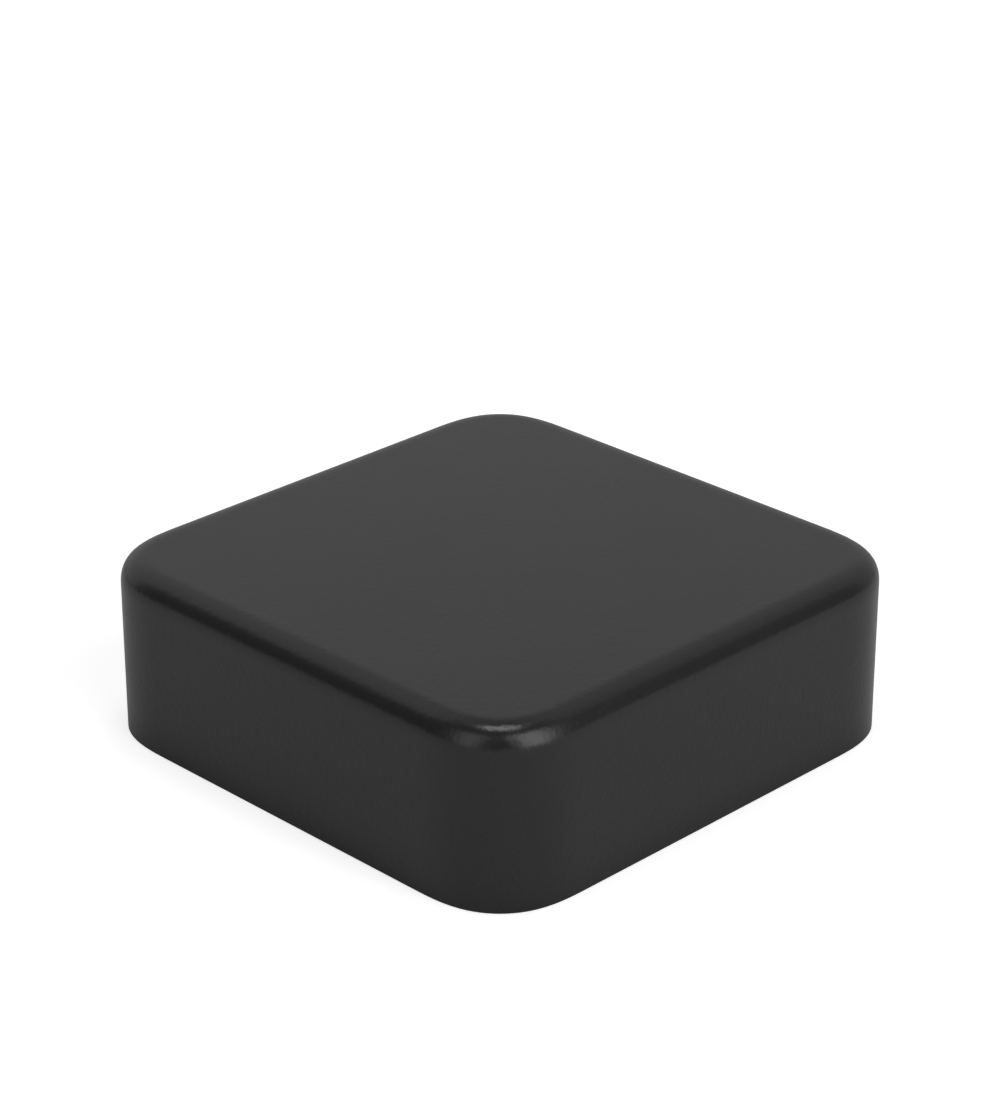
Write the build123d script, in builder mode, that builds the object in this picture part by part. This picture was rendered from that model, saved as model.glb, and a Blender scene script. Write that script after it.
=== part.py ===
"""Square fence post cap: a cast cap shell, a rubber seat gasket and eight rubber grip strips.

Millimetres, +Z up. The origin is the centre of the open rim, on the plane that the rim stands on.
The cap drops over the end of a square post. The post's end meets the gasket under the crown, and
the strips, which slide up into dovetail slots on the skirt's inner walls, press on its four faces.
"""

import os
from math import radians, tan

from build123d import *

os.makedirs("parts", exist_ok=True)

# The post that the cap fits
post_width = 60.0  # across its flats

# Cap shell, outside
side_margin = 5.0  # post face to the cap's outer face
cap_height = 22.6  # rim to crown
corner_radius = 10.8  # upright corners
crown_edge_radius = 2.8  # between the crown and the sides
rim_edge_radius = 0.2  # outer edge of the rim

# Cap shell, inside
wall = 2.5  # skirt, at the rim
crown_thickness = 2.8
draft_angle = 0.5  # degrees, of the skirt's inner walls
land_fillet = 1.2  # between the inner walls and the seat land
rim_chamfer = 0.6  # inner edge of the rim
weld = 0.5  # how far a rail or a rib runs into the metal that it grows from

# Guide rails: blocks on the inner walls, each with a dovetail slot up its middle
rail_clearance = 0.6  # post face to rail face
rail_width = 14.0  # along the wall
rail_start = 1.4  # rim to the foot of the lead-in
lead_in_angle = 30.0  # degrees off the upright, at the rail's foot
rail_edge_radius = 0.5
slot_inset = 14.0  # post corner to the slot's centre line, along the wall

# Grip strips
strip_start = 3.2  # rim to the strip's lower end
strip_depth = 2.05  # slot floor to lip tip
strip_base_width = 9.0  # at the slot's floor
strip_base_depth = 1.0
dovetail_angle = 60.0  # degrees, flank to floor
dovetail_clearance = 0.06  # each side of the strip's base
slot_end_clearance = 0.1  # strip's upper end to the slot's closed end
lip_clearance = 0.05  # post face to lip tip
lip_width = 6.4
lip_pitch = 2.6
lip_root = 1.5  # height of a lip where it leaves the base
lip_tip = 0.5  # height of a lip at its tip
lip_rise = 0.9  # from the root's upper edge to the tip's

# Seat land and gasket
gasket_thickness = 2.0
gasket_band = 7.5  # from the ring's outer edge to its opening
gasket_opening_radius = 5.0
gasket_to_strip = 0.4  # gasket's face to a strip's upper end
land_height = 0.6  # how far the land stands down from the crown's inner face
land_step = 0.5  # gasket's opening to the land's inner edge

# Ribs and casting marks on the crown's inner face
rib_bars = 4  # right across, crossing at the centre
rib_thickness = 1.6
rib_setback = 0.4  # seat plane to a rib's lower edge
gate_radius = 6.0  # round boss where the ribs cross
gate_dimple_radius = 2.5
gate_dimple_depth = 0.8
ejector_count = 4
ejector_radius = 2.2
ejector_height = 0.3
ejector_circle_radius = 15.0

# Places that follow from the sizes above
sides = ("right", "back", "left", "front")  # anticlockwise from +X
side_turn = 360 / len(sides)
post_half = post_width / 2
cap_half = post_half + side_margin
cavity_half = cap_half - wall
crown_inside = cap_height - crown_thickness
land_face = crown_inside - land_height
seat_plane = land_face - gasket_thickness
rail_face = post_half + rail_clearance
slot_floor = post_half + lip_clearance + strip_depth
slot_offset = post_half - slot_inset
strip_end = seat_plane - gasket_to_strip
slot_end = strip_end + slot_end_clearance
strip_face = slot_floor - strip_base_depth
lip_reach = strip_face - post_half - lip_clearance
lip_height = lip_root + lip_rise
lip_count = int((strip_end - strip_start - lip_height) / lip_pitch) + 1
lip_stack = (lip_count - 1) * lip_pitch + lip_height
lip_start = (strip_start + strip_end - lip_stack) / 2
lead_in_height = (cavity_half - rail_face) / tan(radians(lead_in_angle))
gasket_corner_radius = corner_radius - side_margin  # about the same centre as the cap's corner
gasket_opening = post_width - 2 * gasket_band
land_opening = gasket_opening - 2 * land_step
land_opening_radius = gasket_opening_radius - land_step
rib_foot = seat_plane + rib_setback


def dovetail(floor_half_width, depth):
    """Plan of a dovetail that stands on the slot floor of the right-hand wall."""
    face_half_width = floor_half_width - depth / tan(radians(dovetail_angle))
    Polygon(
        (slot_floor, -floor_half_width),
        (slot_floor, floor_half_width),
        (slot_floor - depth, face_half_width),
        (slot_floor - depth, -face_half_width),
        align=None,
    )


# One rail block and one slot, on the right-hand wall, to be repeated round the skirt
with BuildPart() as rail_block:
    with BuildSketch(Plane.XZ):
        Polygon(
            (cavity_half + weld, rail_start),
            (cavity_half, rail_start),
            (rail_face, rail_start + lead_in_height),
            (rail_face, land_face + weld),
            (cavity_half + weld, land_face + weld),
            align=None,
        )
    extrude(amount=rail_width / 2, both=True)
    fillet(rail_block.edges().filter_by(Axis.Z).group_by(Axis.X)[0], rail_edge_radius)

with BuildPart() as slot_core:
    with BuildSketch():
        dovetail(strip_base_width / 2 + dovetail_clearance, slot_floor - rail_face + weld)
    extrude(amount=slot_end)

with BuildPart() as cap_shell:
    # Outer form
    with BuildSketch():
        RectangleRounded(2 * cap_half, 2 * cap_half, corner_radius)
    extrude(amount=cap_height)
    fillet(cap_shell.faces().sort_by(Axis.Z)[-1].edges(), crown_edge_radius)
    fillet(cap_shell.faces().sort_by(Axis.Z)[0].edges(), rim_edge_radius)
    # Cavity, up to the land that the gasket sits on
    with BuildSketch():
        RectangleRounded(2 * cavity_half, 2 * cavity_half, corner_radius - wall)
    extrude(amount=land_face, taper=draft_angle, mode=Mode.SUBTRACT)
    land = cap_shell.faces().filter_by(Axis.Z).sort_by(Axis.Z)[-2]
    fillet(land.edges(), land_fillet)
    rim = cap_shell.faces().sort_by(Axis.Z)[0]
    chamfer(rim.inner_wires()[0].edges(), rim_chamfer)
    # Recess in the crown, inside the land
    with BuildSketch(Plane.XY.offset(land_face)):
        RectangleRounded(land_opening, land_opening, land_opening_radius)
    extrude(amount=land_height, mode=Mode.SUBTRACT)
    # Ribs across the recess, with the gate boss where they meet
    with BuildSketch(Plane.XY.offset(rib_foot)):
        with PolarLocations(0, rib_bars, angular_range=180):
            Rectangle(2 * land_opening, rib_thickness)
        RectangleRounded(land_opening, land_opening, land_opening_radius, mode=Mode.INTERSECT)
        Circle(gate_radius)
    extrude(amount=crown_inside + weld - rib_foot)
    with BuildSketch(Plane.XY.offset(rib_foot)):
        Circle(gate_dimple_radius)
    extrude(amount=gate_dimple_depth, mode=Mode.SUBTRACT)
    # Ejector pads between the ribs
    with BuildSketch(Plane.XY.offset(crown_inside - ejector_height)):
        with PolarLocations(ejector_circle_radius, ejector_count, start_angle=90 / rib_bars):
            Circle(ejector_radius)
    extrude(amount=ejector_height + weld)
    # Rails and slots
    with PolarLocations(0, len(sides)):
        with Locations((0, -slot_offset, 0), (0, slot_offset, 0)):
            add(rail_block.part)
            add(slot_core.part, mode=Mode.SUBTRACT)
cap_shell.part.label = "cap_shell"
export_step(cap_shell.part, "parts/cap_shell.step")

with BuildPart() as seat_gasket:
    with BuildSketch(Plane.XY.offset(seat_plane)):
        RectangleRounded(post_width, post_width, gasket_corner_radius)
        RectangleRounded(
            gasket_opening, gasket_opening, gasket_opening_radius, mode=Mode.SUBTRACT
        )
    extrude(amount=gasket_thickness)
seat_gasket.part.label = "seat_gasket"
export_step(seat_gasket.part, "parts/seat_gasket.step")

# Grip strips, two on each wall. The lips lean up and inwards, so the post slides in past them
# and they dig in when the cap is pulled.
for side, side_name in enumerate(sides):
    next_name = sides[(side + 1) % len(sides)]
    last_name = sides[side - 1]
    turn = Location((0, 0, 0), (0, 0, side_turn * side))
    for end_name, along in ((last_name, -slot_offset), (next_name, slot_offset)):
        level = Plane(turn * Location((0, along, strip_start)))
        upright = Plane(turn * Location((0, along, 0), (90, 0, 0)))
        with BuildPart() as grip_strip:
            with BuildSketch(level):
                dovetail(strip_base_width / 2, strip_base_depth)
            extrude(amount=strip_end - strip_start)
            with BuildSketch(upright):
                with Locations(*[(strip_face, lip_start + n * lip_pitch) for n in range(lip_count)]):
                    Polygon(
                        (0, 0),
                        (0, lip_root),
                        (-lip_reach, lip_height),
                        (-lip_reach, lip_height - lip_tip),
                        align=None,
                    )
            extrude(amount=lip_width / 2, both=True)
        name = f"grip_strip_{side_name}_{end_name}"
        grip_strip.part.label = name
        export_step(grip_strip.part, f"parts/{name}.step")
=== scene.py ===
"""Square fence post cap: powder-coated cast shell, rubber seat gasket and moulded grip strips.

Metres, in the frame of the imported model. The cap stands on its open rim at Z = 0, and the post
comes up into it from below.
"""

import math

import bmesh
import bpy
from bpy.props import FloatProperty, FloatVectorProperty, IntProperty, PointerProperty
from bpy.types import Operator, Panel, PropertyGroup
from mathutils import Matrix, Vector


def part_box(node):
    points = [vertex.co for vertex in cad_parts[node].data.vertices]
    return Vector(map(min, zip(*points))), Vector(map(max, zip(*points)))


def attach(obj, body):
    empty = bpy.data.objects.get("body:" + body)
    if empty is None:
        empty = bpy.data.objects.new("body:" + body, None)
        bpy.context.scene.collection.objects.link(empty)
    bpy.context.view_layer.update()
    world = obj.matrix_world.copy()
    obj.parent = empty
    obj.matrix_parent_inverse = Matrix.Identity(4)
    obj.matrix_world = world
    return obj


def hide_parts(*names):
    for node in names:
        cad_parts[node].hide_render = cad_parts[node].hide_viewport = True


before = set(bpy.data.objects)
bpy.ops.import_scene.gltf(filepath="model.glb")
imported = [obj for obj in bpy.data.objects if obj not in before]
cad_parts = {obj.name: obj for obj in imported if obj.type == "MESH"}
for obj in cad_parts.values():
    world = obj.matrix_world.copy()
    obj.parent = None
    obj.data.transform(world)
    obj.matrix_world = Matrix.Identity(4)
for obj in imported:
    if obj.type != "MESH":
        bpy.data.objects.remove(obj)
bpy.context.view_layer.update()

bl_info = {
    "name": "Fence Post Cap",
    "version": (1, 0, 0),
    "blender": (4, 5, 0),
    "location": "View3D > Sidebar > Post Cap",
    "description": "Builds a square fence post cap, its grip strips and gasket, and a studio for it",
    "category": "Add Mesh",
}

MM = 0.001

# Sizes that the frame gives
SHELL_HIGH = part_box("cap_shell")[1]
GASKET_LOW, GASKET_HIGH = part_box("seat_gasket")
STRIPS = sorted(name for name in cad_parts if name.startswith("grip_strip_"))
CAP_HALF = SHELL_HIGH.x
CAP_HEIGHT = SHELL_HIGH.z
POST_HALF = GASKET_HIGH.x
SEAT_PLANE = GASKET_LOW.z
LAND_FACE = GASKET_HIGH.z


# ---------------------------------------------------------------- settings


def millimetres(name, description, default):
    """A size property in metres, given in millimetres."""
    return FloatProperty(
        name=name, description=description, default=default * MM, unit="LENGTH", precision=5,
    )


def degrees(name, description, default):
    """An angle property in radians, given in degrees."""
    return FloatProperty(
        name=name, description=description, default=math.radians(default), subtype="ANGLE",
    )


class ShellSettings(PropertyGroup):
    """Sizes of the cast shell. Its overall size is the frame's."""

    corner_radius: millimetres(
        "Corner Radius", "Radius of the plain arc that would cut an upright corner back as far", 10.5)
    corner_ease: degrees("Corner Ease", "Turn over which an upright corner eases into each side", 25.0)
    crown_edge: millimetres("Crown Edge", "Radius between the crown and the sides", 2.8)
    crown_ease: degrees("Crown Ease", "Turn over which the crown edge eases into crown and sides", 20.0)
    rim_edge: millimetres("Rim Edge", "Radius of the rim's outer edge", 0.2)
    wall: millimetres("Wall", "Thickness of the skirt at the rim", 2.5)
    crown: millimetres("Crown Thickness", "Thickness of the crown inside the land", 2.8)
    draft: degrees("Draft", "Taper of the skirt's inner walls", 0.5)
    land_fillet: millimetres("Land Fillet", "Radius between the inner walls and the land", 1.2)
    rim_chamfer: millimetres("Rim Chamfer", "Chamfer on the rim's inner edge", 0.6)
    break_edge: millimetres("Broken Edge", "Radius that casting and coat leave on sharp edges", 0.18)
    recess: millimetres("Recess Width", "Width of the recess inside the land", 44.0)
    recess_radius: millimetres("Recess Radius", "Corner radius of the recess", 4.5)
    rail_width: millimetres("Rail Width", "Width of a guide rail along the wall", 14.0)
    rail_clearance: millimetres("Rail Clearance", "Post face to rail face", 0.6)
    rail_start: millimetres("Rail Start", "Rim to the foot of a rail's lead-in", 1.4)
    slot_end_clearance: millimetres("Slot End Clearance", "Strip's upper end to the slot's closed end", 0.1)
    lead_in: degrees("Lead-in", "Slope of a rail's foot, off the upright", 30.0)
    rail_edge: millimetres("Rail Edge", "Radius of a rail's upright edges", 0.5)
    ribs: IntProperty(name="Ribs", description="Bars that cross under the crown", default=4, min=1)
    rib_thickness: millimetres("Rib Thickness", "Thickness of a rib at its foot", 1.6)
    rib_setback: millimetres("Rib Setback", "Seat plane to a rib's foot", 0.4)
    gate_radius: millimetres("Gate Radius", "Radius of the boss where the ribs cross", 6.0)
    gate_dimple: millimetres("Gate Dimple", "Radius of the broken gate's hollow", 2.5)
    gate_depth: millimetres("Gate Depth", "Depth of the broken gate's hollow", 0.8)
    pads: IntProperty(name="Ejector Pads", description="Ejector pads under the crown", default=4)
    pad_radius: millimetres("Pad Radius", "Radius of an ejector pad", 2.2)
    pad_height: millimetres("Pad Height", "Height of an ejector pad", 0.3)
    pad_circle: millimetres("Pad Circle", "Radius of the circle that the pads stand on", 15.0)


class StripSettings(PropertyGroup):
    """Sizes of a grip strip. Its overall size and place are the frame's."""

    base_depth: millimetres("Base Depth", "Thickness of the dovetail base", 1.0)
    flank: degrees("Flank", "Angle between the dovetail's flank and its floor", 60.0)
    clearance: millimetres("Dovetail Clearance", "Gap on each side of the base", 0.06)
    lip_width: millimetres("Lip Width", "Width of a lip along the wall", 6.4)
    lip_pitch: millimetres("Lip Pitch", "Height from one lip to the next", 2.6)
    lip_root: millimetres("Lip Root", "Height of a lip where it leaves the base", 1.5)
    lip_tip: millimetres("Lip Tip", "Height of a lip at its tip", 0.5)
    lip_rise: millimetres("Lip Rise", "Rise from the root's upper edge to the tip's", 0.9)
    edge: millimetres("Edge", "Radius of the moulded edges", 0.12)


class GasketSettings(PropertyGroup):
    """Sizes of the seat gasket. Its overall size is the frame's."""

    corner_radius: millimetres("Corner Radius", "Radius of the outer corners", 5.8)
    band: millimetres("Band", "Width of the ring", 7.5)
    opening_radius: millimetres("Opening Radius", "Radius of the opening's corners", 5.0)
    edge: millimetres("Edge", "Radius that the die leaves on the cut edges", 0.15)
    pinch: millimetres("Pinch", "How far the cut faces draw in between the skins", 0.08)


class CoatSettings(PropertyGroup):
    """The shell's powder coat."""

    colour: FloatVectorProperty(
        name="Colour", description="Colour of the powder coat", subtype="COLOR",
        size=3, min=0.0, max=1.0, default=(0.0145, 0.0145, 0.0145),
    )
    roughness: FloatProperty(
        name="Roughness", description="Gloss of the coat, from mirror to matte", subtype="FACTOR",
        min=0.0, max=1.0, default=0.25,
    )
    grain: millimetres("Grain", "Pitch of the coat's fine texture", 0.28)
    grain_depth: millimetres("Grain Depth", "Height of the coat's fine texture", 0.034)


class RubberSettings(PropertyGroup):
    """The rubber of the strips and the gasket."""

    strip_colour: FloatVectorProperty(
        name="Strip Colour", description="Colour of the moulded rubber", subtype="COLOR",
        size=3, min=0.0, max=1.0, default=(0.022, 0.022, 0.024),
    )
    gasket_colour: FloatVectorProperty(
        name="Gasket Colour", description="Colour of the sheet rubber", subtype="COLOR",
        size=3, min=0.0, max=1.0, default=(0.030, 0.030, 0.032),
    )
    bloom: FloatProperty(
        name="Bloom", description="Pale powder on the rubber's surface", subtype="FACTOR",
        min=0.0, max=1.0, default=0.35,
    )


class StageSettings(PropertyGroup):
    """The floor, the lights and the camera."""

    azimuth: degrees("Azimuth", "Camera's turn about the cap, from the front", 45.0)
    elevation: degrees("Elevation", "Camera's height above the floor, as an angle", 25.0)
    distance: FloatProperty(
        name="Distance", description="Camera to the point that it looks at", unit="LENGTH",
        min=0.05, default=0.4,
    )
    aim_height: millimetres("Aim Height", "Height of the point that the camera looks at", 22.97)
    lens: FloatProperty(
        name="Lens", description="Focal length in millimetres", min=20.0, max=300.0, default=110.3,
    )
    floor_glow: FloatProperty(
        name="Floor Glow", description="Extra white that only the camera sees on the floor near the cap",
        min=0.0, max=2.0, default=0.67,
    )
    backdrop: FloatProperty(
        name="Backdrop", description="Brightness of the panels behind the cap",
        min=0.0, max=5.0, default=0.368,
    )
    overhead: FloatProperty(
        name="Overhead", description="Brightness of the softbox over the cap",
        min=0.0, max=50.0, default=3.9,
    )
    key: FloatProperty(
        name="Key", description="Brightness of the softbox on the right",
        min=0.0, max=50.0, default=2.4,
    )
    fill: FloatProperty(
        name="Fill", description="Brightness of the softbox on the left",
        min=0.0, max=50.0, default=1.1,
    )


# ---------------------------------------------------------------- node helpers


def node_adder(tree):
    """A function that adds nodes to a tree. Inputs are values, or sockets to link from."""

    def add(kind, inputs=None, **settings):
        node = tree.nodes.new(kind)
        for key, value in settings.items():
            setattr(node, key, value)
        for key, value in (inputs or {}).items():
            if isinstance(value, bpy.types.NodeSocket):
                tree.links.new(value, node.inputs[key])
            else:
                node.inputs[key].default_value = value
        return node

    return add


def shader_nodes(owner):
    """An empty node tree on a material or world, as a function that adds nodes to it."""
    owner.use_nodes = True
    owner.node_tree.nodes.clear()
    return node_adder(owner.node_tree)


def maths(add, kind, *values):
    """Result of an operation on numbers."""
    return add("ShaderNodeMath", dict(enumerate(values)), operation=kind).outputs["Value"]


def vector_maths(add, kind, *values):
    """Result of an operation on vectors. It is a number for a length or a dot product."""
    node = add("ShaderNodeVectorMath", dict(enumerate(values)), operation=kind)
    return node.outputs["Value" if kind in ("LENGTH", "DOT_PRODUCT") else "Vector"]


def vector(add, **parts):
    """Vector from its X, Y and Z. A part that isn't given is 0."""
    return add("ShaderNodeCombineXYZ", parts).outputs["Vector"]


def shape_tree(name, inputs):
    """A geometry node tree with named inputs, given as name: kind. Returns it, add() and its sockets."""
    tree = bpy.data.node_groups.new(name, "GeometryNodeTree")
    for direction in ("INPUT", "OUTPUT"):
        tree.interface.new_socket("Geometry", in_out=direction, socket_type="NodeSocketGeometry")
    for label, kind in inputs.items():
        tree.interface.new_socket(label, in_out="INPUT", socket_type="NodeSocket" + kind)
    add = node_adder(tree)
    return tree, add, add("NodeGroupInput").outputs


def close_tree(add, geometry, material):
    """Ends a shape tree with real geometry in its material."""
    real = add("GeometryNodeRealizeInstances", {"Geometry": geometry}).outputs["Geometry"]
    coated = add("GeometryNodeSetMaterial", {"Geometry": real, "Material": material})
    add("NodeGroupOutput", {"Geometry": coated.outputs["Geometry"]})


def union(tree, add, solver, *parts):
    """One solid from closed meshes that overlap. EXACT also joins what overlaps within one part."""
    node = add("GeometryNodeMeshBoolean", operation="UNION", solver=solver)
    if solver == "EXACT":
        node.inputs["Self Intersection"].default_value = True
    for part in parts:
        tree.links.new(part, node.inputs["Mesh 2"])
    return node.outputs["Mesh"]


def moved(add, geometry, **parts):
    """Geometry moved along X, Y and Z."""
    inputs = {"Geometry": geometry, "Translation": vector(add, **parts)}
    return add("GeometryNodeTransform", inputs).outputs["Geometry"]


def turn_about_z(add, angle):
    """Rotation about the Z axis."""
    return add("FunctionNodeEulerToRotation", {"Euler": vector(add, Z=angle)}).outputs["Rotation"]


def in_a_row(add, instance, count, offset=(0.0, 0.0, 0.0), rotation=(0.0, 0.0, 0.0)):
    """Instances in a row, each one offset further on, and each turned by the rotation."""
    line = add("GeometryNodeMeshLine", {"Count": count, "Offset": offset}, mode="OFFSET")
    inputs = {"Points": line.outputs["Mesh"], "Instance": instance, "Rotation": rotation}
    return add("GeometryNodeInstanceOnPoints", inputs).outputs["Instances"]


def round_the_axis(add, instance, count, start=0.0):
    """Instances turned about the Z axis, evenly spaced."""
    step = maths(add, "DIVIDE", math.tau, count)
    index = add("GeometryNodeInputIndex").outputs["Index"]
    angle = maths(add, "MULTIPLY_ADD", index, step, start)
    return in_a_row(add, instance, count, rotation=turn_about_z(add, angle))


# ---------------------------------------------------------------- outlines and solids


TOLERANCE = 0.004 * MM  # chord to arc
SQUARE_STEPS = 30  # segments in each corner of a rounded square
CROWN_STEPS = 24  # segments in the crown edge's section
BOSS_STEPS = 64  # segments round the gate boss
PAD_STEPS = 40  # segments round an ejector pad
EDGE_STEPS = 3  # segments in a prism's rounded end edges
SMOOTH_BELOW = math.radians(32.0)  # edges that turn by less than this are shaded smooth
WELD = 0.5 * MM  # how far a rail, rib or pad runs into the metal that it grows from
SWEPT_ON_X = Matrix(((0, 0, 1, 0), (1, 0, 0, 0), (0, 1, 0, 0), (0, 0, 0, 1)))  # outline in Y and Z
SWEPT_ON_Y = Matrix(((1, 0, 0, 0), (0, 0, 1, 0), (0, 1, 0, 0), (0, 0, 0, 1)))  # outline in X and Z


def rounded_arcs(corners):
    """The points of each corner of an outline. A corner is (x, y, radius), sharp at radius 0."""
    arcs = []
    for here, (x, y, radius) in enumerate(corners):
        corner = Vector((x, y))
        if radius == 0.0:
            arcs.append([corner])
            continue
        before = (Vector(corners[here - 1][:2]) - corner).normalized()
        after = (Vector(corners[(here + 1) % len(corners)][:2]) - corner).normalized()
        half = before.angle(after) / 2
        centre = corner + (before + after).normalized() * (radius / math.sin(half))
        spoke = corner + before * (radius / math.tan(half)) - centre
        turn = math.copysign(math.pi - 2 * half, after.x * before.y - after.y * before.x)
        steps = max(2, math.ceil(abs(turn) / (2 * math.acos(1 - TOLERANCE / radius))))
        arcs.append([centre + Matrix.Rotation(turn * step / steps, 2) @ spoke
                     for step in range(steps + 1)])
    return arcs


def rounded(corners):
    """Outline through corners, each rounded to its radius."""
    return [point for arc in rounded_arcs(corners) for point in arc]


def eased_turn(ease, steps):
    """A quarter turn of radius 1, as (point, heading).

    At each end, over a turn of ease, its bend grows evenly from none, or dies away to none.
    """
    turn = math.pi / 2
    path = turn + 2 * ease

    def heading(along):
        if along < 2 * ease:
            return along**2 / (4 * ease)
        if along > path - 2 * ease:
            return turn - (path - along) ** 2 / (4 * ease)
        return along - ease

    spot = Vector((0.0, 0.0))
    trail = [(spot, 0.0)]
    for step in range(steps):
        middle = heading((step + 0.5) * path / steps)
        spot = spot + Vector((math.cos(middle), math.sin(middle))) * (path / steps)
        trail.append((spot, heading((step + 1) * path / steps)))
    return trail


def square_ring(half, radius, height):
    """Rounded square at a height, anticlockwise. Every size has the same number of points."""
    ring = []
    for quarter in range(4):
        centre = Matrix.Rotation(quarter * math.pi / 2, 2) @ Vector((half - radius, half - radius))
        for step in range(SQUARE_STEPS + 1):
            angle = (quarter + step / SQUARE_STEPS) * math.pi / 2
            ring.append((centre.x + radius * math.cos(angle), centre.y + radius * math.sin(angle), height))
    return ring


def round_ring(radius, height):
    """Circle at a height, anticlockwise."""
    angles = [math.tau * step / BOSS_STEPS for step in range(BOSS_STEPS)]
    return [(radius * math.cos(angle), radius * math.sin(angle), height) for angle in angles]


def square_reach(half, radius, angle):
    """Distance from the centre of a rounded square to its edge, at an angle."""
    turn = math.remainder(angle, math.pi / 2)
    corner = half - radius
    if half * abs(math.tan(turn)) <= corner:
        return half / math.cos(turn)
    along = corner * (math.cos(turn) + abs(math.sin(turn)))
    return along + math.sqrt(radius**2 - 2 * corner**2 + along**2)


def bridge(bm, lower, upper):
    """Quads between two rings of vertices with the same count."""
    for here in range(len(lower)):
        bm.faces.new((lower[here - 1], lower[here], upper[here], upper[here - 1]))


def ring_of(bm, points, height):
    """Vertices at a height, over the points of a flat outline."""
    return [bm.verts.new((point[0], point[1], height)) for point in points]


def loft(bm, rings, loop=False):
    """Closed skin over rings of points, capped at both ends or joined round into a loop."""
    rings = [[bm.verts.new(point) for point in ring] for ring in rings]
    for lower, upper in zip(rings, rings[1:]):
        bridge(bm, lower, upper)
    if loop:
        bridge(bm, rings[-1], rings[0])
    else:
        bm.faces.new(rings[0])
        bm.faces.new(rings[-1])


def prism(bm, outline, low, high, edge=0.0, place=None):
    """Flat outline drawn up from low to high, with its end edges rounded, then put in its place."""
    part = bmesh.new()
    ends = [ring_of(part, outline, height) for height in (low, high)]
    bridge(part, *ends)
    caps = [part.faces.new(ring) for ring in ends]
    if edge:
        bmesh.ops.bevel(part, geom=[rim for cap in caps for rim in cap.edges], offset=edge,
                        segments=EDGE_STEPS, profile=0.5, affect="EDGES")
    if place:
        part.transform(place)
    mesh = bpy.data.meshes.new("prism")
    part.to_mesh(mesh)
    part.free()
    bm.from_mesh(mesh)
    bpy.data.meshes.remove(mesh)


def solid(name, build, *arguments):
    """Object whose mesh build() makes, with its faces outward."""
    bm = bmesh.new()
    build(bm, *arguments)
    bmesh.ops.recalc_face_normals(bm, faces=bm.faces)
    mesh = bpy.data.meshes.new(name)
    bm.to_mesh(mesh)
    bm.free()
    obj = bpy.data.objects.new(name, mesh)
    bpy.context.scene.collection.objects.link(obj)
    return obj


def flatten(obj):
    """Turns an object's modifiers into plain mesh."""
    bpy.context.view_layer.update()
    depsgraph = bpy.context.evaluated_depsgraph_get()
    obj.data = bpy.data.meshes.new_from_object(obj.evaluated_get(depsgraph), depsgraph=depsgraph)
    obj.modifiers.clear()


def grow(obj, tree, values):
    """Runs a shape tree on an object with these input values, and keeps the result as plain mesh."""
    modifier = obj.modifiers.new(tree.name, "NODES")
    modifier.node_group = tree
    for item in tree.interface.items_tree:
        if item.in_out == "INPUT" and item.name in values:
            modifier[item.identifier] = values[item.name]
    flatten(obj)


def polish(obj):
    """Joins doubles, then shades rounds smoothly and flats truly flat."""
    merge = 0.0005 * MM  # points that lie nearer than this are one
    bm = bmesh.new()
    bm.from_mesh(obj.data)
    bmesh.ops.remove_doubles(bm, verts=bm.verts, dist=merge)
    bmesh.ops.dissolve_degenerate(bm, edges=bm.edges, dist=merge)
    bmesh.ops.recalc_face_normals(bm, faces=bm.faces)
    bm.to_mesh(obj.data)
    bm.free()
    obj.data.shade_smooth()
    obj.data.set_sharp_from_angle(angle=SMOOTH_BELOW)
    weighted = obj.modifiers.new("weighted", "WEIGHTED_NORMAL")
    weighted.keep_sharp = True
    weighted.weight = 100
    flatten(obj)


def hand_over(obj, slot, *nodes):
    """The finished piece rides on the only body and hides the CAD nodes that it stands for."""
    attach(obj, "root")
    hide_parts(*nodes)


def remove(*objects):
    """Deletes objects that were only there for a shape tree to read."""
    for obj in objects:
        bpy.data.objects.remove(obj)


# ---------------------------------------------------------------- materials


def object_space(add):
    """Place on the piece, in metres."""
    return add("ShaderNodeTexCoord").outputs["Object"]


def noise(add, place, pitch, detail=2.0, roughness=0.5):
    """Noise from 0 to 1 with bumps about a pitch apart."""
    node = add("ShaderNodeTexNoise", {
        "Vector": place, "Scale": 0.5 / pitch, "Detail": detail, "Roughness": roughness})
    return node.outputs["Fac"]


def ramp(add, value, start, end, low=0.0, high=1.0):
    """Smooth step from low to high as the value goes from start to end."""
    node = add("ShaderNodeMapRange", {
        "Value": value, "From Min": start, "From Max": end, "To Min": low, "To Max": high},
        interpolation_type="SMOOTHSTEP")
    return node.outputs["Result"]


def bump(add, height, depth, under=None):
    """Normal of a surface with bumps of a depth, on top of another normal."""
    inputs = {"Height": height, "Distance": depth, "Strength": 1.0}
    if under:
        inputs["Normal"] = under
    return add("ShaderNodeBump", inputs).outputs["Normal"]


def blend(add, factor, first, second):
    """Colour that goes from the first to the second as the factor goes from 0 to 1."""
    node = add("ShaderNodeMix", {"Factor": factor, "A": first, "B": second}, data_type="RGBA")
    return node.outputs["Result"]


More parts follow.
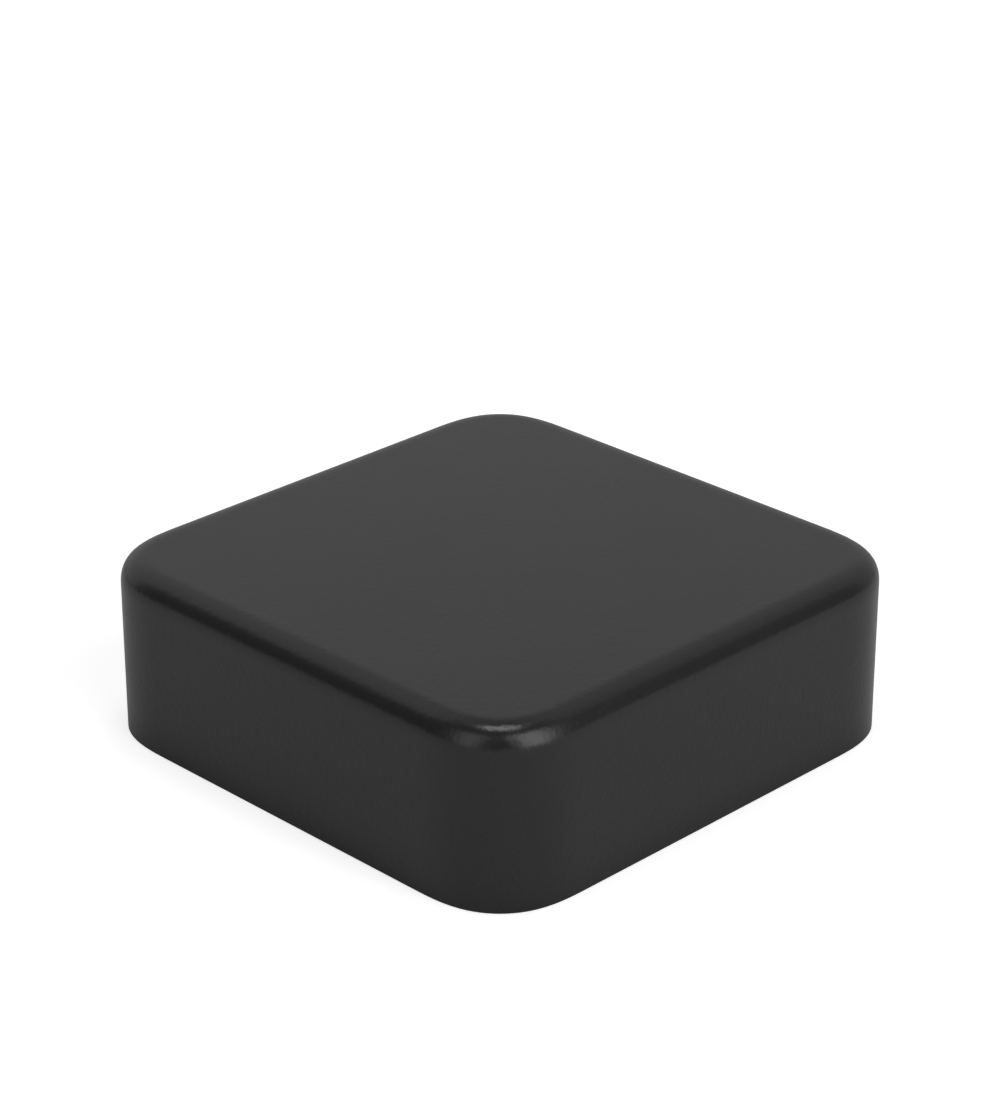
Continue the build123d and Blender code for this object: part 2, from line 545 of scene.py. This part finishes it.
def powder_coat(settings, size):
    """Satin black powder coat: fine grain over a faint orange peel, thin and dull deep inside."""
    speck_gain = 1.12  # specks are a touch paler
    thin_colour = (0.060, 0.060, 0.062, 1.0)
    thin_share = 0.7  # of that colour, where the coat is thinnest
    thin_roughness = 0.55
    mottle = 0.012  # how far the roughness wanders
    fade = 1.0 * MM  # of metal, in which the outer finish gives way to the inner one
    material = bpy.data.materials.new("powder_coat_black")
    add = shader_nodes(material)
    place = object_space(add)
    height = add("ShaderNodeSeparateXYZ", {"Vector": place}).outputs["Z"]

    # Distance out from the square between the corners' centres. A metre off the height leaves it out.
    core = CAP_HALF - size.corner_radius
    off_core = vector_maths(add, "SUBTRACT", vector_maths(add, "ABSOLUTE", place), (core, core, 1.0))
    across = vector_maths(add, "LENGTH", vector_maths(add, "MAXIMUM", off_core, (0.0, 0.0, 0.0)))
    inner = size.corner_radius - size.wall
    inside = maths(add, "MULTIPLY", ramp(add, across, inner + fade, inner),
                   ramp(add, height, CAP_HEIGHT - fade, CAP_HEIGHT - 2 * fade))

    deep = ramp(add, height, 0.0, SEAT_PLANE, low=0.25)
    patches = ramp(add, noise(add, place, 5.0 * MM, detail=3.0), 0.35, 0.7)
    thin = maths(add, "MULTIPLY", maths(add, "MULTIPLY", inside, deep), patches)
    specks = ramp(add, noise(add, place, settings.grain, detail=1.0), 0.58, 0.72)
    outer = blend(add, specks, (*settings.colour, 1.0),
                  (*[value * speck_gain for value in settings.colour], 1.0))
    colour = blend(add, maths(add, "MULTIPLY", thin, thin_share), outer, thin_colour)
    matte = ramp(add, noise(add, place, 7.0 * MM), 0.3, 0.7, low=-mottle, high=mottle)
    gloss = maths(add, "ADD", matte,
                  ramp(add, thin, 0.0, 1.0, low=settings.roughness, high=thin_roughness))
    peel = bump(add, noise(add, place, 2.4 * MM, detail=1.0), 0.006 * MM)
    texture = noise(add, place, settings.grain, detail=3.0, roughness=0.6)
    shader = add("ShaderNodeBsdfPrincipled", {
        "Base Color": colour, "Roughness": gloss, "IOR": 1.5,
        "Normal": bump(add, texture, settings.grain_depth, peel)})
    add("ShaderNodeOutputMaterial", {"Surface": shader.outputs["BSDF"]})
    return material


def moulded_rubber(settings):
    """Matte moulded EPDM with a spark-eroded skin and pale bloom in patches."""
    bloom_colour = (0.085, 0.086, 0.088, 1.0)
    material = bpy.data.materials.new("moulded_epdm")
    add = shader_nodes(material)
    place = object_space(add)
    patches = ramp(add, noise(add, place, 1.6 * MM, detail=4.0, roughness=0.65), 0.48, 0.75)
    bloom = maths(add, "MULTIPLY", patches, settings.bloom)
    skin = bump(add, noise(add, place, 0.12 * MM), 0.012 * MM)
    flow = bump(add, noise(add, place, 0.9 * MM, detail=1.0), 0.010 * MM, skin)
    shader = add("ShaderNodeBsdfPrincipled", {
        "Base Color": blend(add, bloom, (*settings.strip_colour, 1.0), bloom_colour),
        "Roughness": ramp(add, bloom, 0.0, 0.4, low=0.52, high=0.75), "IOR": 1.5, "Normal": flow})
    add("ShaderNodeOutputMaterial", {"Surface": shader.outputs["BSDF"]})
    return material


def sheet_rubber(settings):
    """Calendered EPDM sheet: fine rolling lines on its skins and rougher, paler cut faces."""
    dust_colour = (0.10, 0.10, 0.102, 1.0)
    cut_dust = 0.3  # on the cut faces, as a share
    along_rolls = (0.06, 1.0, 1.0)  # draws the noise out into lines along X
    material = bpy.data.materials.new("sheet_epdm")
    add = shader_nodes(material)
    place = object_space(add)
    rolled = add("ShaderNodeMapping", {"Vector": place, "Scale": along_rolls}).outputs["Vector"]
    normal = add("ShaderNodeSeparateXYZ", {"Vector": add("ShaderNodeNewGeometry").outputs["Normal"]})
    cut = ramp(add, maths(add, "ABSOLUTE", normal.outputs["Z"]), 0.8, 0.3)
    patches = ramp(add, noise(add, place, 4.0 * MM, detail=4.0, roughness=0.6), 0.45, 0.75)
    bloom = maths(add, "MULTIPLY", patches, settings.bloom)
    dusty = maths(add, "MAXIMUM", bloom, maths(add, "MULTIPLY", cut, cut_dust))
    lines = bump(add, noise(add, rolled, 0.35 * MM), 0.015 * MM)
    pores = bump(add, noise(add, place, 0.15 * MM, detail=3.0), 0.012 * MM, lines)
    shader = add("ShaderNodeBsdfPrincipled", {
        "Base Color": blend(add, dusty, (*settings.gasket_colour, 1.0), dust_colour),
        "Roughness": ramp(add, dusty, 0.0, 0.4, low=0.60, high=0.85), "IOR": 1.5, "Normal": pores})
    add("ShaderNodeOutputMaterial", {"Surface": shader.outputs["BSDF"]})
    return material


def white_floor(glow):
    """White floor that glows for the camera alone, and more so far out, where the lamps light it less."""
    near, far = 0.15, 0.60  # metres out from the middle
    far_glow = glow + 0.5
    material = bpy.data.materials.new("white_floor")
    add = shader_nodes(material)
    seen = add("ShaderNodeLightPath").outputs["Is Camera Ray"]
    out = vector_maths(add, "LENGTH", object_space(add))
    strength = maths(add, "MULTIPLY", seen, ramp(add, out, near, far, low=glow, high=far_glow))
    shader = add("ShaderNodeBsdfPrincipled", {
        "Base Color": (0.7, 0.7, 0.7, 1.0), "Roughness": 0.9, "Specular IOR Level": 0.0,
        "Emission Color": (1.0, 1.0, 1.0, 1.0), "Emission Strength": strength})
    add("ShaderNodeOutputMaterial", {"Surface": shader.outputs["BSDF"]})
    return material


# ---------------------------------------------------------------- cap shell


def crown_section(radius, ease):
    """Crown edge's section, from the crown out and down, as (inset, height)."""
    trail = [radius * spot for spot, heading in eased_turn(ease, CROWN_STEPS)]
    return [(trail[-1].x - spot.x, CAP_HEIGHT - spot.y) for spot in trail]


def eased_square(half, radius, ease):
    """Outline of a rounded square whose corners ease into its sides, as (point, way it faces).

    Each corner is cut back as far as a plain arc of the radius would.
    """
    corner = eased_turn(ease, SQUARE_STEPS)
    end = corner[-1][0]
    tip = corner[SQUARE_STEPS // 2][0]
    scale = radius * (2 - math.sqrt(2)) / (end.x - tip.x + tip.y)
    outline = []
    for quarter in range(4):
        turn = Matrix.Rotation(quarter * math.pi / 2, 2)
        for spot, heading in corner:
            point = Vector((half - scale * spot.y, half + scale * (spot.x - end.x)))
            outline.append((turn @ point, turn @ Vector((math.cos(heading), math.sin(heading)))))
    return outline


def shell_skin(bm, size):
    """Crown, skirt, rim, inner walls, land and recess as one closed skin, without rails or ribs."""
    deep_wall = size.wall + LAND_FACE * math.tan(size.draft)
    broken = size.break_edge
    outside = crown_section(size.crown_edge, size.crown_ease)
    outside += rounded((
        (0.0, CAP_HEIGHT / 2, 0.0),
        (0.0, 0.0, size.rim_edge),
        (size.wall - size.rim_chamfer, 0.0, broken),
        (size.wall, size.rim_chamfer, broken),
        (deep_wall, LAND_FACE, size.land_fillet),
        (deep_wall + size.land_fillet * 1.5, LAND_FACE, 0.0),
    ))
    ceiling = CAP_HEIGHT - size.crown
    flat = broken * 3  # kept beside a broken edge
    recess = rounded((
        (flat, LAND_FACE, 0.0),
        (0.0, LAND_FACE, broken),
        (0.0, ceiling, broken),
        (-flat, ceiling, 0.0),
    ))
    plan = eased_square(CAP_HALF, size.corner_radius, size.corner_ease)
    rings = [[(*(point - inset * facing), height) for point, facing in plan]
             for inset, height in outside]
    rings += [square_ring(size.recess / 2 + out, size.recess_radius + out, height)
              for out, height in recess]
    loft(bm, rings)


def rail_pair(bm, size, strip):
    """The two rails of the right-hand wall, each with its dovetail slot and its lead-in."""
    low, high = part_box("grip_strip_right_back")
    slot_floor = high.x
    slot_end = high.z + size.slot_end_clearance
    cavity = CAP_HALF - size.wall
    face = POST_HALF + size.rail_clearance
    half = size.rail_width / 2
    slot_half = (high.y - low.y) / 2 + strip.clearance
    mouth = slot_half - (slot_floor - face) / math.tan(strip.flank)
    broken = size.break_edge
    for middle in ((low.y + high.y) / 2, -(low.y + high.y) / 2):
        arcs = rounded_arcs([(x, middle + y, radius) for x, y, radius in (
            (face, half, size.rail_edge),
            (cavity + WELD, half, 0.0),
            (cavity + WELD, -half, 0.0),
            (face, -half, size.rail_edge),
            (face, -mouth, broken),
            (slot_floor, -slot_half, broken),
            (slot_floor, slot_half, broken),
            (face, mouth, broken),
        )])
        block = [point for arc in arcs[:4] for point in arc]
        slot = [point for arc in arcs[4:] for point in arc]
        foot = ring_of(bm, block + slot, size.rail_start)
        level = ring_of(bm, block + slot, slot_end)
        top = ring_of(bm, block + [slot[0], slot[-1]], LAND_FACE + WELD)
        bridge(bm, foot, level)
        ceiling = level[len(block):]
        bridge(bm, level[:len(block)] + [ceiling[0], ceiling[-1]], top)
        for ring in (foot, ceiling, top):
            bm.faces.new(ring)
    everything = list(bm.verts) + list(bm.edges) + list(bm.faces)
    cut = bmesh.ops.bisect_plane(
        bm, geom=everything, clear_outer=True, plane_co=(cavity, 0.0, size.rail_start),
        plane_no=(-math.cos(size.lead_in), 0.0, -math.sin(size.lead_in)))["geom_cut"]
    edges = [item for item in cut if isinstance(item, bmesh.types.BMEdge)]
    bmesh.ops.edgeloop_fill(bm, edges=edges)


def ribs(bm, size):
    """Bars right across the recess with draft and root fillets, and the gate boss where they cross."""
    draft = math.radians(1.5)
    foot_edge = 0.35 * MM
    fillet = 0.5 * MM
    hollow_fillet = 0.25 * MM
    hollow_flare = 0.15 * MM
    sink = 0.03 * MM  # how far the fillets run into the ceiling, so that no faces coincide
    bite = 0.05 * MM  # how far a bar's end runs into the recess's wall
    foot = SEAT_PLANE + size.rib_setback
    ceiling = CAP_HEIGHT - size.crown + sink
    half = size.rib_thickness / 2
    root = half + (ceiling - foot) * math.tan(draft)
    side = [(half, foot, foot_edge), (root, ceiling, fillet), (root + 2 * fillet, ceiling, 0.0),
            (root + 2 * fillet, ceiling + WELD, 0.0)]
    section = rounded([*side, *[(-x, z, radius) for x, z, radius in reversed(side)]])
    inner = (size.gate_dimple + size.gate_radius) / 2
    for arm in range(2 * size.ribs):
        angle = math.pi * arm / size.ribs
        reach = square_reach(size.recess / 2, size.recess_radius, angle) + bite
        prism(bm, section, inner, reach, size.break_edge, Matrix.Rotation(angle, 4, "Z") @ SWEPT_ON_X)
    boss = rounded((
        (0.0, foot + size.gate_depth, 0.0),
        (size.gate_dimple, foot + size.gate_depth, hollow_fillet),
        (size.gate_dimple + hollow_flare, foot, size.break_edge),
        *[(size.gate_radius - half + x, z, radius) for x, z, radius in side],
    ))
    loft(bm, [round_ring(radius, height) for radius, height in boss[1:]])


def cast_features():
    """Shape tree that joins the rails, ribs and ejector pads to the shell's skin."""
    tree, add, given = shape_tree("cast_features", {
        "Rails": "Object", "Ribs": "Object", "Sides": "Int", "Pads": "Int", "Pad Radius": "Float",
        "Pad Length": "Float", "Pad Circle": "Float", "Pad Foot": "Float", "Pad Start": "Float",
        "Coat": "Material"})
    rails = add("GeometryNodeObjectInfo", {"Object": given["Rails"]}).outputs["Geometry"]
    bars = add("GeometryNodeObjectInfo", {"Object": given["Ribs"]}).outputs["Geometry"]
    foot_share = 0.96  # a pad's foot is a little smaller than its root
    pad = add("GeometryNodeMeshCone", {
        "Vertices": PAD_STEPS, "Radius Bottom": maths(add, "MULTIPLY", given["Pad Radius"], foot_share),
        "Radius Top": given["Pad Radius"], "Depth": given["Pad Length"]}).outputs["Mesh"]
    pad = moved(add, pad, X=given["Pad Circle"], Z=given["Pad Foot"])
    whole = union(tree, add, "EXACT", given["Geometry"], bars,
                  round_the_axis(add, rails, given["Sides"]),
                  round_the_axis(add, pad, given["Pads"], given["Pad Start"]))
    close_tree(add, whole, given["Coat"])
    return tree


class POSTCAP_OT_shell(Operator):
    """Build the cast cap shell with its rails, ribs and ejector pads"""

    bl_idname = "postcap.shell"
    bl_label = "Cap Shell"

    def execute(self, context):
        scene = context.scene
        size = scene.postcap_shell
        shell = solid("shell_casting", shell_skin, size)
        rails = solid("rail_pair", rail_pair, size, scene.postcap_strip)
        bars = solid("rib_bars", ribs, size)
        grow(shell, cast_features(), {
            "Rails": rails, "Ribs": bars, "Sides": 4, "Pads": size.pads, "Pad Radius": size.pad_radius,
            "Pad Length": size.pad_height + WELD, "Pad Circle": size.pad_circle,
            "Pad Foot": CAP_HEIGHT - size.crown - size.pad_height,
            "Pad Start": math.pi / size.ribs / 2, "Coat": powder_coat(scene.postcap_coat, size)})
        polish(shell)
        remove(rails, bars)
        hand_over(shell, "powder_coat_black", "cap_shell")
        return {"FINISHED"}


# ---------------------------------------------------------------- grip strips


def strip_base(bm, strip, width, length, edge):
    """Dovetail base, with its floor on X = 0 and its lower end on Z = 0."""
    half = width / 2
    face_half = half - strip.base_depth / math.tan(strip.flank)
    outline = rounded((
        (0.0, -half, edge),
        (0.0, half, edge),
        (-strip.base_depth, face_half, edge),
        (-strip.base_depth, -face_half, edge),
    ))
    prism(bm, outline, 0.0, length, edge)


def lip(bm, strip, reach):
    """One lip that leans up and inwards, rooted on the base's face at X = 0."""
    root = 0.02 * MM  # into the base, so that the fillets run out inside it
    deep = strip.base_depth / 2
    skirt = 0.35 * MM
    fillet = 0.25 * MM
    nose = 0.18 * MM
    outline = rounded((
        (deep, -skirt, 0.0),
        (root, -skirt, 0.0),
        (root, 0.0, fillet),
        (-reach, strip.lip_root + strip.lip_rise - strip.lip_tip, nose),
        (-reach, strip.lip_root + strip.lip_rise, nose),
        (root, strip.lip_root, fillet),
        (root, strip.lip_root + skirt, 0.0),
        (deep, strip.lip_root + skirt, 0.0),
    ))
    half = strip.lip_width / 2
    prism(bm, outline, -half, half, strip.edge, SWEPT_ON_Y)


def lipped_strip():
    """Shape tree that grows a row of lips on a strip's base and puts the strip in its slot."""
    tree, add, given = shape_tree("lipped_strip", {
        "Lip": "Object", "Lips": "Int", "Pitch": "Float", "First": "Float", "Base Depth": "Float",
        "Out": "Float", "Along": "Float", "Up": "Float", "Turn": "Float", "Rubber": "Material"})
    single = add("GeometryNodeObjectInfo", {"Object": given["Lip"]}).outputs["Geometry"]
    row = in_a_row(add, single, given["Lips"], offset=vector(add, Z=given["Pitch"]))
    row = moved(add, row, X=maths(add, "MULTIPLY", given["Base Depth"], -1.0), Z=given["First"])
    whole = union(tree, add, "MANIFOLD", given["Geometry"], row)
    whole = moved(add, whole, X=given["Out"], Y=given["Along"], Z=given["Up"])
    whole = add("GeometryNodeTransform", {
        "Geometry": whole, "Rotation": turn_about_z(add, given["Turn"])}).outputs["Geometry"]
    close_tree(add, whole, given["Rubber"])
    return tree


class POSTCAP_OT_strips(Operator):
    """Build the grip strips in the rails' slots"""

    bl_idname = "postcap.strips"
    bl_label = "Grip Strips"

    def execute(self, context):
        strip = context.scene.postcap_strip
        rubber = moulded_rubber(context.scene.postcap_rubber)
        low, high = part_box("grip_strip_right_back")
        depth, width, length = high - low
        reach = depth - strip.base_depth
        lip_height = strip.lip_root + strip.lip_rise
        lips = int((length - lip_height) / strip.lip_pitch) + 1
        first = (length - (lips - 1) * strip.lip_pitch - lip_height) / 2
        single = solid("lip", lip, strip, reach)
        tree = lipped_strip()
        for name in STRIPS:
            low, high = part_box(name)
            middle = (low + high) / 2
            turn = round(math.atan2(middle.y, middle.x) / (math.pi / 2)) * math.pi / 2
            at_right = Matrix.Rotation(-turn, 3, "Z") @ middle
            piece = solid(name.replace("grip_", "lipped_"), strip_base, strip, width, length, strip.edge)
            grow(piece, tree, {
                "Lip": single, "Lips": lips, "Pitch": strip.lip_pitch, "First": first,
                "Base Depth": strip.base_depth, "Out": at_right.x + depth / 2, "Along": at_right.y,
                "Up": low.z, "Turn": turn, "Rubber": rubber})
            polish(piece)
            hand_over(piece, "strip_rubber", name)
        remove(single)
        return {"FINISHED"}


# ---------------------------------------------------------------- seat gasket


def gasket_ring(bm, size):
    """Die-cut ring whose cut faces draw in a little between the two skins."""
    low, high = GASKET_LOW.z, GASKET_HIGH.z
    flat = 3 * size.edge  # kept beside a cut edge
    waist = 1.2 * MM  # radius where a cut face is drawn in most
    cut_face = rounded((
        (-flat, low, 0.0),
        (0.0, low, size.edge),
        (-size.pinch, (low + high) / 2, waist),
        (0.0, high, size.edge),
        (-flat, high, 0.0),
    ))
    opening = POST_HALF - size.band
    rings = [square_ring(POST_HALF + out, size.corner_radius + out, height) for out, height in cut_face]
    rings += [square_ring(opening - out, size.opening_radius - out, height)
              for out, height in reversed(cut_face)]
    loft(bm, rings, loop=True)


class POSTCAP_OT_gasket(Operator):
    """Build the seat gasket under the crown"""

    bl_idname = "postcap.gasket"
    bl_label = "Seat Gasket"

    def execute(self, context):
        gasket = solid("gasket_ring", gasket_ring, context.scene.postcap_gasket)
        gasket.data.materials.append(sheet_rubber(context.scene.postcap_rubber))
        polish(gasket)
        hand_over(gasket, "gasket_rubber", "seat_gasket")
        return {"FINISHED"}


# ---------------------------------------------------------------- stage


FLOOR_HALF = 6.0  # metres, middle to edge
LAMP_DISTANCE = 0.8  # metres from a softbox to the point that it faces
EVEN = (0.001, 0.001, 0.001)  # softness of a softbox that is bright right up to its edges


def toward(azimuth, elevation):
    """Unit vector to a camera or lamp. Azimuth 0 is in front, on -Y, and turns towards +X."""
    flat = math.cos(elevation)
    return Vector((math.sin(azimuth) * flat, -math.cos(azimuth) * flat, math.sin(elevation)))


def softbox(name, azimuth, elevation, radiance, aim, width, height, soft=EVEN):
    """Area light that faces its aim. It dims over shares of its size at the sides, foot and head."""
    lamp = bpy.data.lights.new(name, "AREA")
    lamp.shape = "RECTANGLE"
    lamp.size = width
    lamp.size_y = height
    lamp.energy = radiance * width * height * math.pi
    add = shader_nodes(lamp)
    spot = add("ShaderNodeSeparateXYZ", {"Vector": add("ShaderNodeNewGeometry").outputs["Parametric"]})
    sides, foot, head = soft
    off_middle = maths(add, "ABSOLUTE", maths(add, "SUBTRACT", spot.outputs["X"], 0.5))
    level = maths(add, "MULTIPLY", ramp(add, off_middle, 0.5, 0.5 - sides),
                  maths(add, "MULTIPLY", ramp(add, spot.outputs["Y"], 0.0, foot),
                        ramp(add, spot.outputs["Y"], 1.0, 1.0 - head)))
    shade = add("ShaderNodeEmission", {"Strength": level})
    add("ShaderNodeOutputLight", {"Surface": shade.outputs["Emission"]})
    back = toward(azimuth, elevation)
    obj = bpy.data.objects.new(name, lamp)
    obj.location = aim + back * LAMP_DISTANCE
    obj.rotation_euler = back.to_track_quat("Z", "Y").to_euler()
    bpy.context.scene.collection.objects.link(obj)


def studio_world(settings):
    """Bright panels behind the cap and a dim room elsewhere; the camera sees plain white."""
    world = bpy.data.worlds.new("studio")
    bpy.context.scene.world = world
    add = shader_nodes(world)
    back = -toward(settings.azimuth, 0.0)
    right = Vector((back.y, -back.x, 0.0))
    direction = add("ShaderNodeTexCoord").outputs["Generated"]
    parts = add("ShaderNodeSeparateXYZ", {"Vector": direction}).outputs
    height = parts["Z"]
    heading = vector_maths(add, "NORMALIZE", vector(add, X=parts["X"], Y=parts["Y"]))
    behind = vector_maths(add, "DOT_PRODUCT", heading, back)
    rightward = vector_maths(add, "DOT_PRODUCT", direction, right)

    # The panels stand round the back, dimmer at their foot and towards the right
    panel = maths(add, "MULTIPLY", ramp(add, behind, 0.20, 0.38), ramp(add, height, 0.90, 0.80))
    panel = maths(add, "MULTIPLY", panel, ramp(add, height, 0.36, 0.50, low=0.96, high=1.05))
    panel = maths(add, "MULTIPLY", panel, maths(add, "MULTIPLY_ADD", rightward, -0.35, 1.0))
    # High up and straight behind, they leave a dim gap
    gap = maths(add, "ADD", ramp(add, behind, 0.90, 0.97, high=0.3),
                ramp(add, behind, 0.980, 0.998, high=0.4))
    gap = maths(add, "MULTIPLY", gap, ramp(add, height, 0.50, 0.62))
    panel = maths(add, "MULTIPLY", panel, maths(add, "SUBTRACT", 1.0, gap))

    room = maths(add, "MULTIPLY_ADD", rightward, 0.03, 0.12)
    shade = maths(add, "MULTIPLY_ADD", panel, settings.backdrop, room)
    seen = add("ShaderNodeLightPath").outputs["Is Camera Ray"]
    background = add("ShaderNodeBackground", {
        "Strength": maths(add, "MAXIMUM", shade, seen), "Color": (1.0, 1.0, 1.0, 1.0)})
    add("ShaderNodeOutputWorld", {"Surface": background.outputs["Background"]})


class POSTCAP_OT_stage(Operator):
    """Add the floor, the studio lights and the camera"""

    bl_idname = "postcap.stage"
    bl_label = "Stage"

    def execute(self, context):
        scene = context.scene
        settings = scene.postcap_stage
        half = FLOOR_HALF
        mesh = bpy.data.meshes.new("floor")
        mesh.from_pydata([(-half, -half, 0), (half, -half, 0), (half, half, 0), (-half, half, 0)],
                         [], [(0, 1, 2, 3)])
        mesh.materials.append(white_floor(settings.floor_glow))
        floor = bpy.data.objects.new("floor", mesh)
        scene.collection.objects.link(floor)

        studio_world(settings)
        azimuth = settings.azimuth
        aim = Vector((0.0, 0.0, settings.aim_height))
        softbox("overhead", azimuth, math.radians(93.5), settings.overhead, aim,
                width=0.31, height=0.30)
        softbox("key", azimuth + math.radians(45.0), math.radians(29.0), settings.key, aim,
                width=1.00, height=0.96, soft=(0.46, 0.08, 0.08))
        softbox("fill", azimuth - math.radians(41.0), math.radians(28.0), settings.fill, aim,
                width=0.90, height=0.92, soft=(0.58, 0.08, 0.12))

        data = bpy.data.cameras.new("camera")
        data.lens = settings.lens
        data.sensor_width = 36.0
        data.clip_start = 0.01
        camera = bpy.data.objects.new("camera", data)
        back = toward(azimuth, settings.elevation)
        camera.location = aim + back * settings.distance
        camera.rotation_euler = back.to_track_quat("Z", "Y").to_euler()
        scene.collection.objects.link(camera)
        scene.camera = camera
        scene.view_settings.view_transform = "Standard"
        return {"FINISHED"}


# ---------------------------------------------------------------- add-on


class POSTCAP_PT_sidebar(Panel):
    """Sizes, finishes and operators of the post cap"""

    bl_idname = "POSTCAP_PT_sidebar"
    bl_label = "Fence Post Cap"
    bl_space_type = "VIEW_3D"
    bl_region_type = "UI"
    bl_category = "Post Cap"

    def draw(self, context):
        for owner in SETTINGS:
            group = getattr(context.scene, owner)
            box = self.layout.box()
            for prop in group.__annotations__:
                box.prop(group, prop)
        for operator in OPERATORS:
            self.layout.operator(operator.bl_idname)


SETTINGS = {
    "postcap_shell": ShellSettings,
    "postcap_strip": StripSettings,
    "postcap_gasket": GasketSettings,
    "postcap_coat": CoatSettings,
    "postcap_rubber": RubberSettings,
    "postcap_stage": StageSettings,
}
OPERATORS = (POSTCAP_OT_shell, POSTCAP_OT_strips, POSTCAP_OT_gasket, POSTCAP_OT_stage)


def register():
    for group in SETTINGS.values():
        bpy.utils.register_class(group)
    for name, group in SETTINGS.items():
        setattr(bpy.types.Scene, name, PointerProperty(type=group))
    for operator in OPERATORS:
        bpy.utils.register_class(operator)
    bpy.utils.register_class(POSTCAP_PT_sidebar)


def unregister():
    bpy.utils.unregister_class(POSTCAP_PT_sidebar)
    for operator in reversed(OPERATORS):
        bpy.utils.unregister_class(operator)
    for name in SETTINGS:
        delattr(bpy.types.Scene, name)
    for group in reversed(SETTINGS.values()):
        bpy.utils.unregister_class(group)


def main():
    register()
    bpy.ops.postcap.shell()
    bpy.ops.postcap.strips()
    bpy.ops.postcap.gasket()
    bpy.ops.postcap.stage()


if __name__ == "__main__":
    main()
